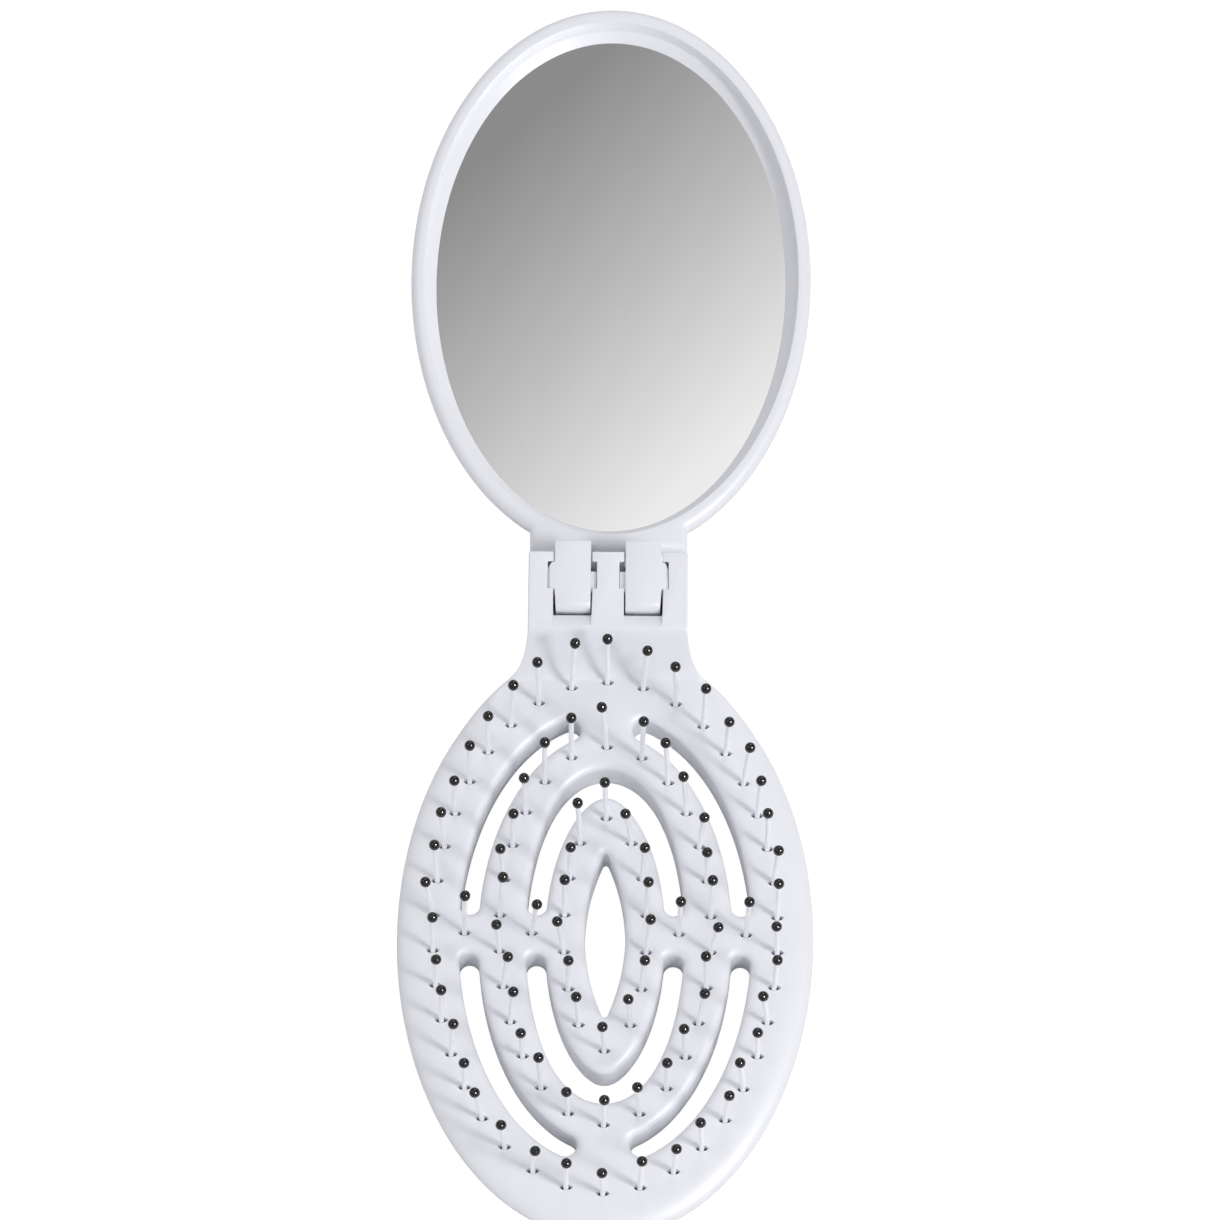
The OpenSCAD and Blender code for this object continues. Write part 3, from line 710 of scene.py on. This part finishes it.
# The outside: the underside's rounding as on the rear cover, the tucked-in side and the rim's outer edge
rim_low = lid_z - rim_drop
tuck_z = np.linspace(low_z, rim_low, 10)
tucked = tuck_in * (1 - tuck_z / rim_low) ** 2
lid_slope = 2 * tuck_in * (1 - low_z / rim_low) / rim_low
b = np.linspace(1, 0, 7)[:-1]
under = tucked[0] + curl(b, low_z * lid_slope, lid_turn_in)
bend = np.linspace(0, np.pi / 2, 9)[1:]
outside = [
    level([oval], 0), level(under, low_z * (1 - b) ** 2), level(tucked, tuck_z),
    level(rim_wide * (1 - np.cos(bend))[:, None], rim_low + rim_drop * np.sin(bend))]
# The inside: the rim's small inner edge, its wall, a hollow corner, the sloping band and the seat
bend = np.linspace(0, np.pi / 2, 5)
wall_in, band_in = rim_in + 0.02, rim_in + seat_wide
band_low = band_top - band_rise * seat_wide / band_wide
b = np.linspace(0, 1, 5)[1:]
cove_z = band_top + band_cove - curl(b, band_cove, cove_drop)
inside_rim = [
    level(rim_in - rim_ease * (1 - np.sin(bend))[:, None], lid_z - rim_ease * (1 - np.cos(bend))),
    level([wall_in], band_top + band_cove), level(wall_in + band_cove * (b**2)[:, None], cove_z),
    level([band_in - 0.1], band_low + 0.06), level([band_in - 0.03], band_low + 0.01),
    level([band_in], band_low - 0.05), level([band_in], floor_z), level([oval], floor_z)]
lid = solid("lid_moulding", [strip(oval_rings(oval, np.vstack(outside + inside_rim)))])

# The lid's near end: as wide as the neck, straight, rounded like the rim, and hollow where the tray is.
# It lies a hair inside the tray's own end and rim, so that no two faces fall into one plane.
end_y, end_z, end_ease, end_l, end_foot = lid_low_y + 0.03, lid_z - 0.01, 1.2, 7, 1.0
end_side = np.vstack([
    [[end_y, end_foot]], rounded(end_y, rim_low, end_y + rim_wide[1], end_z, 9),
    [[end_y + end_l, end_z], [end_y + end_l, end_foot]]])
end = prisms("lid_end", [(end_side, -neck_x, neck_x, 0)])
combine(end, prisms("lid_hollow", [(lid_centre + ellipse(oval - 2.0, lid_t), -1, 8, 2)]), "DIFFERENCE")
corner = rounded(neck_x, end_z - end_ease, neck_x - end_ease, end_z, 9)
end_front = np.vstack([[[neck_x, end_foot / 2]], corner, corner[::-1] * [-1, 1], [[-neck_x, end_foot / 2]]])
combine(end, prisms("end_front", [(end_front, 0, 30, 1)]), "INTERSECT")
combine(lid, end, "UNION")

# The plate that runs from the tray to the hinge, with a thin foot under the tray's near end
plate_start, plate_z, foot_z, foot_l = neck_end + 0.15, 3.0, 0.8, 12
plate_oval, plate_turn = oval - 2.5, 0.43
far_end = lid_centre - ellipse(plate_oval, np.linspace(-plate_turn, plate_turn, 17))
meet_y = lid_centre[1] - plate_oval[1] * math.sqrt(1 - (neck_x / plate_oval[0]) ** 2)
plate = np.vstack([[[-neck_x, plate_start], [neck_x, plate_start], [neck_x, meet_y]],
                   far_end, [[-neck_x, meet_y]]])
foot_end = plate_start + foot_l
foot = [[-neck_x, plate_start], [neck_x, plate_start], [neck_x, foot_end], [-neck_x, foot_end]]
combine(lid, prisms("lid_plate", [(plate, 0, plate_z, 2)]), "UNION")
combine(lid, prisms("lid_foot", [(foot, 0, foot_z, 2)]), "UNION")

# The arms: flush with the neck's face, with a rounded heel, and round about the hinge's axis below
arm_half, arm_reach, heel_r = 2.8, 5.75, 1.4
leg_lean, leg_z = 0.41, 1.5
leg_y = arm_reach + (hinge_z - lid_z) * leg_lean
face_up = hinge_face_z - hinge_z
heel_a = np.pi + math.asin(max(0, heel_r - face_up) / arm_reach)
arm_side = np.vstack([
    [[arm_reach, hinge_face_z]],
    arc(heel_r, np.pi / 2, np.pi, 8, heel_r - arm_reach, hinge_face_z - heel_r),
    arc(arm_reach, heel_a, 2 * np.pi - math.acos(plate_start / arm_reach), 44)[1:],
    [[plate_start, leg_z], [leg_y, leg_z], [leg_y, lid_z], [arm_reach, hinge_z]]])
outer_side, inner_side = arm_x + arm_half, arm_x - arm_half
combine(lid, prisms("arms", across(arm_side, inner_side, outer_side)), "UNION")

# The stubs: round, cut flat at the neck's face, with a lower core at the outer ones' ends; the guide
# stubs on the arms' inner sides are cut lower and on their far side
stub_r, core_r, core_down = 2.5, 2.46, 0.25
stub_l, core_l, guide_l = 0.82, 1.06, 0.91
stub_sunk, core_sunk = 0.4, 0.3
guide_top, guide_far = face_up - 0.75, 0.9
flat_a, core_a = math.asin(face_up / stub_r), math.asin((face_up - core_down) / core_r)
stub_side = arc(stub_r, np.pi - flat_a, 2 * np.pi + flat_a, 60)
core_side = arc(core_r, np.pi - core_a, 2 * np.pi + core_a, 60)
guide_start, guide_end = np.pi - math.asin(guide_top / stub_r), 2 * np.pi - math.acos(guide_far / stub_r)
guide_side = np.vstack([arc(stub_r, guide_start, guide_end, 40), [[guide_far, hinge_z + guide_top]]])
combine(lid, prisms("stubs", across(stub_side, outer_side - stub_sunk, outer_side + stub_l)
                    + across(guide_side, inner_side + stub_sunk, inner_side - guide_l)), "UNION")
combine(lid, prisms("stub_ends", across(core_side, outer_side - core_sunk, outer_side + core_l)), "UNION")

# Relief: the arms narrow a little towards their heels, and the outer stubs' far corners are led in
taper, taper_start, taper_end, clear_x = 0.3, -2.65, -7, outer_side + 0.8
heel_cut = [[outer_side, taper_start], [clear_x, taper_start], [clear_x, taper_end],
            [outer_side - taper, taper_end]]
lead_x, cut_low, cut_high = outer_side + 0.9, hinge_z - 7, hinge_z + 2
lead_cut = [[lead_x + 0.2, 1.2], [lead_x + 0.2, 2.8], [lead_x - 0.6, 2.8], [lead_x - 0.32, 2.0]]
combine(lid, prisms("relief_cuts", [
    (np.array(plan)[::s] * [s, 1], cut_low, cut_high, 2)
    for plan in (heel_cut, lead_cut) for s in (-1, 1)]), "DIFFERENCE")
ease_edges(lid, (-neck_x - 0.2, -7, 0.9), (neck_x + 0.2, foot_end + 0.5, 15.5), mould_ease)
dress(lid, white, "lid", "lid_shell")

# ---- Adhesive sheet ----
# A thin double-sided sheet of pale acrylic, cut to an oval and stuck down on the tray's floor. It
# holds the glass and is unseen.

paint = Paint("adhesive_film")
film = paint.surface(
    base_color=paint.blend(paint.noise(0.006, 3.0), (0.74, 0.74, 0.74), (0.80, 0.80, 0.80)),
    roughness=0.5 + 0.2 * paint.noise(0.002, 3.0))
coat(frame["nodes"]["mirror_adhesive"], film)

# ---- Mirror glass ----
# An oval of silvered float glass with finely ground edges, cut and then stuck down by the adhesive
# sheet. Its edge lies just under the sloping band.

glass_oval = (glass_high - glass_low)[:2] / 2
arris, flat_from = 0.03, 0.15
glass_foot, glass_top = glass_low[2], glass_high[2]
glass_profile = np.vstack([
    level([glass_oval], glass_foot), level([arris], glass_foot), level([0.0], glass_foot + arris),
    level([0.0], glass_top - arris), level([arris * 0.3], glass_top - arris * 0.35),
    level([arris], glass_top), level([flat_from], glass_top), level([glass_oval], glass_top)])
glass = solid("mirror_plate", [strip(oval_rings(glass_oval, glass_profile))])
paint = Paint("mirror")
smudge = paint.noise(0.02, 5.0, 0.65)
silver = paint.surface(
    base_color=paint.blend(smudge, (0.885, 0.89, 0.89), (0.905, 0.905, 0.91)), metallic=1.0,
    roughness=0.012 + 0.02 * smudge)
dress(glass, silver, "lid", "mirror_glass")

# ---- Studio ----
# A white floor and soft light from all round, as on a lightbox. A bright lamp stands to the right, in
# front and above, beside one that adds only its glint, and dim wide lamps soften the shadows.


def square(name, middle, half, up):
    """A level square of the studio that reaches half each way from its middle. It faces up where up
    is 1, and down where it is -1."""
    corners = [(middle[0] + x * half, middle[1] + y * half, middle[2])
               for x, y in ((-1, -up), (1, -up), (1, up), (-1, up))]
    mesh = bpy.data.meshes.new(name)
    mesh.from_pydata(corners, [], [(0, 1, 2, 3)])
    made = bpy.data.objects.new(name, mesh)
    bpy.context.scene.collection.objects.link(made)
    return made


floor_half, floor_height = 6.0, -0.0001
floor = square("floor", (0, 0, floor_height), floor_half, 1)
paint = Paint("pale_floor")
glow = paint.add("Emission", {}, {"Color": (1, 1, 1, 1), "Strength": 0.94})
dim = paint.add("BsdfDiffuse", {}, {"Color": (0.2, 0.2, 0.2, 1)})
matt = paint.add("BsdfDiffuse", {}, {"Color": (0.8, 0.8, 0.8, 1)})
seen = paint.add("AddShader", {}, {0: glow, 1: dim})
to_camera = paint.add("LightPath", out="Is Camera Ray")
paint.add("OutputMaterial", {}, {"Surface": paint.add("MixShader", {}, {0: to_camera, 1: matt, 2: seen})})
coat(floor, paint.material)

# White to the camera, dim in reflections, and of middle strength as light
world = bpy.data.worlds.new("studio")
bpy.context.scene.world = world
paint = Paint("studio", world)
light = paint.add("Background", {}, {"Color": (0.98, 0.99, 1.0, 1), "Strength": 0.515})
shine = paint.add("Background", {}, {"Color": (1, 1, 1, 1), "Strength": 0.3})
backdrop = paint.add("Background", {}, {"Color": (1, 1, 1, 1), "Strength": 1.0})
unseen = paint.add("MixShader", {}, {0: paint.add("LightPath", out="Is Glossy Ray"), 1: light, 2: shine})
both = paint.add("MixShader", {}, {0: paint.add("LightPath", out="Is Camera Ray"), 1: unseen, 2: backdrop})
paint.add("OutputWorld", {}, {"Surface": both})


def aim(thing, place, target):
    """Puts a lamp or camera at a place and points it at the target."""
    thing.location = place
    thing.rotation_euler = (Vector(target) - Vector(place)).to_track_quat("-Z", "Y").to_euler()
    bpy.context.scene.collection.objects.link(thing)


def lamp(name, way, wide, radiance, far=1.3):
    """A round soft lamp far metres off in the direction way. Its power is its radiance times its area
    times pi."""
    disk = bpy.data.lights.new(name, "AREA")
    disk.shape, disk.size = "DISK", wide
    disk.energy = radiance * math.pi * math.pi * wide**2 / 4
    holder = bpy.data.objects.new(name, disk)
    holder.visible_camera = False
    aim(holder, Vector(way).normalized() * far, (0, 0, 0))
    return holder


lamp("key", (0.52, -0.38, 0.77), 0.22, 37.3)
glint = lamp("glint", (0.52, -0.30, 0.79), 0.15, 200)
glint.visible_diffuse = False
lamp("right_softbox", (0.6, -0.5, 0.62), 0.6, 3.1)
lamp("left_softbox", (-0.65, 0.0, 0.76), 0.8, 1.0)
lamp("front_softbox", (0.2, -0.78, 0.6), 0.8, 0.5)
lamp("back_softbox", (0.1, 0.78, 0.6), 0.8, 1.5)

# A card above and behind the lid that shows in reflections only: grey at its far left, rising evenly
# to white at its near right. It hangs where the mirror shows it to the camera.
card_y, card_z, card_half = 0.6216, 1.2, 0.3
card = square("mirror_card", (0, card_y, card_z), card_half, -1)
for kind in ("camera", "diffuse", "transmission", "shadow", "volume_scatter"):
    setattr(card, f"visible_{kind}", False)
paint = Paint("mirror_card")
x = paint.add("SeparateXYZ", {}, {0: paint.place()}, out="X")
y = paint.add("SeparateXYZ", {}, {0: paint.place()}, out="Y")
rise_x, rise_y, middle = 4.8866, -4.8299, 0.4938
share = x * rise_x + (y - card_y) * rise_y + middle
greys = [(k / 4, (grey,) * 3) for k, grey in enumerate((0.287, 0.407, 0.552, 0.731, 0.932))]
tone = paint.add("ValToRGB", {"stops": greys}, {0: share})
paint.add("OutputMaterial", {}, {"Surface": paint.add("Emission", {}, {"Color": tone, "Strength": 1.0})})
coat(card, paint.material)

# The camera looks down on the middle of the open brush from the head's end
azimuth, elevation, distance = math.radians(0.47), math.radians(67.59), 1.023
target = Vector((0.0003, -0.0017, 0.005))
level_out = math.cos(elevation)
back = Vector((math.sin(azimuth) * level_out, -math.cos(azimuth) * level_out, math.sin(elevation)))
camera_data = bpy.data.cameras.new("camera")
camera_data.sensor_width, camera_data.lens = 36, 192.5
camera_data.clip_start, camera_data.clip_end = 0.05, 20
camera = bpy.data.objects.new("camera", camera_data)
aim(camera, target + back * distance, target)
bpy.context.scene.camera = camera

bpy.context.scene.view_settings.view_transform = "Standard"
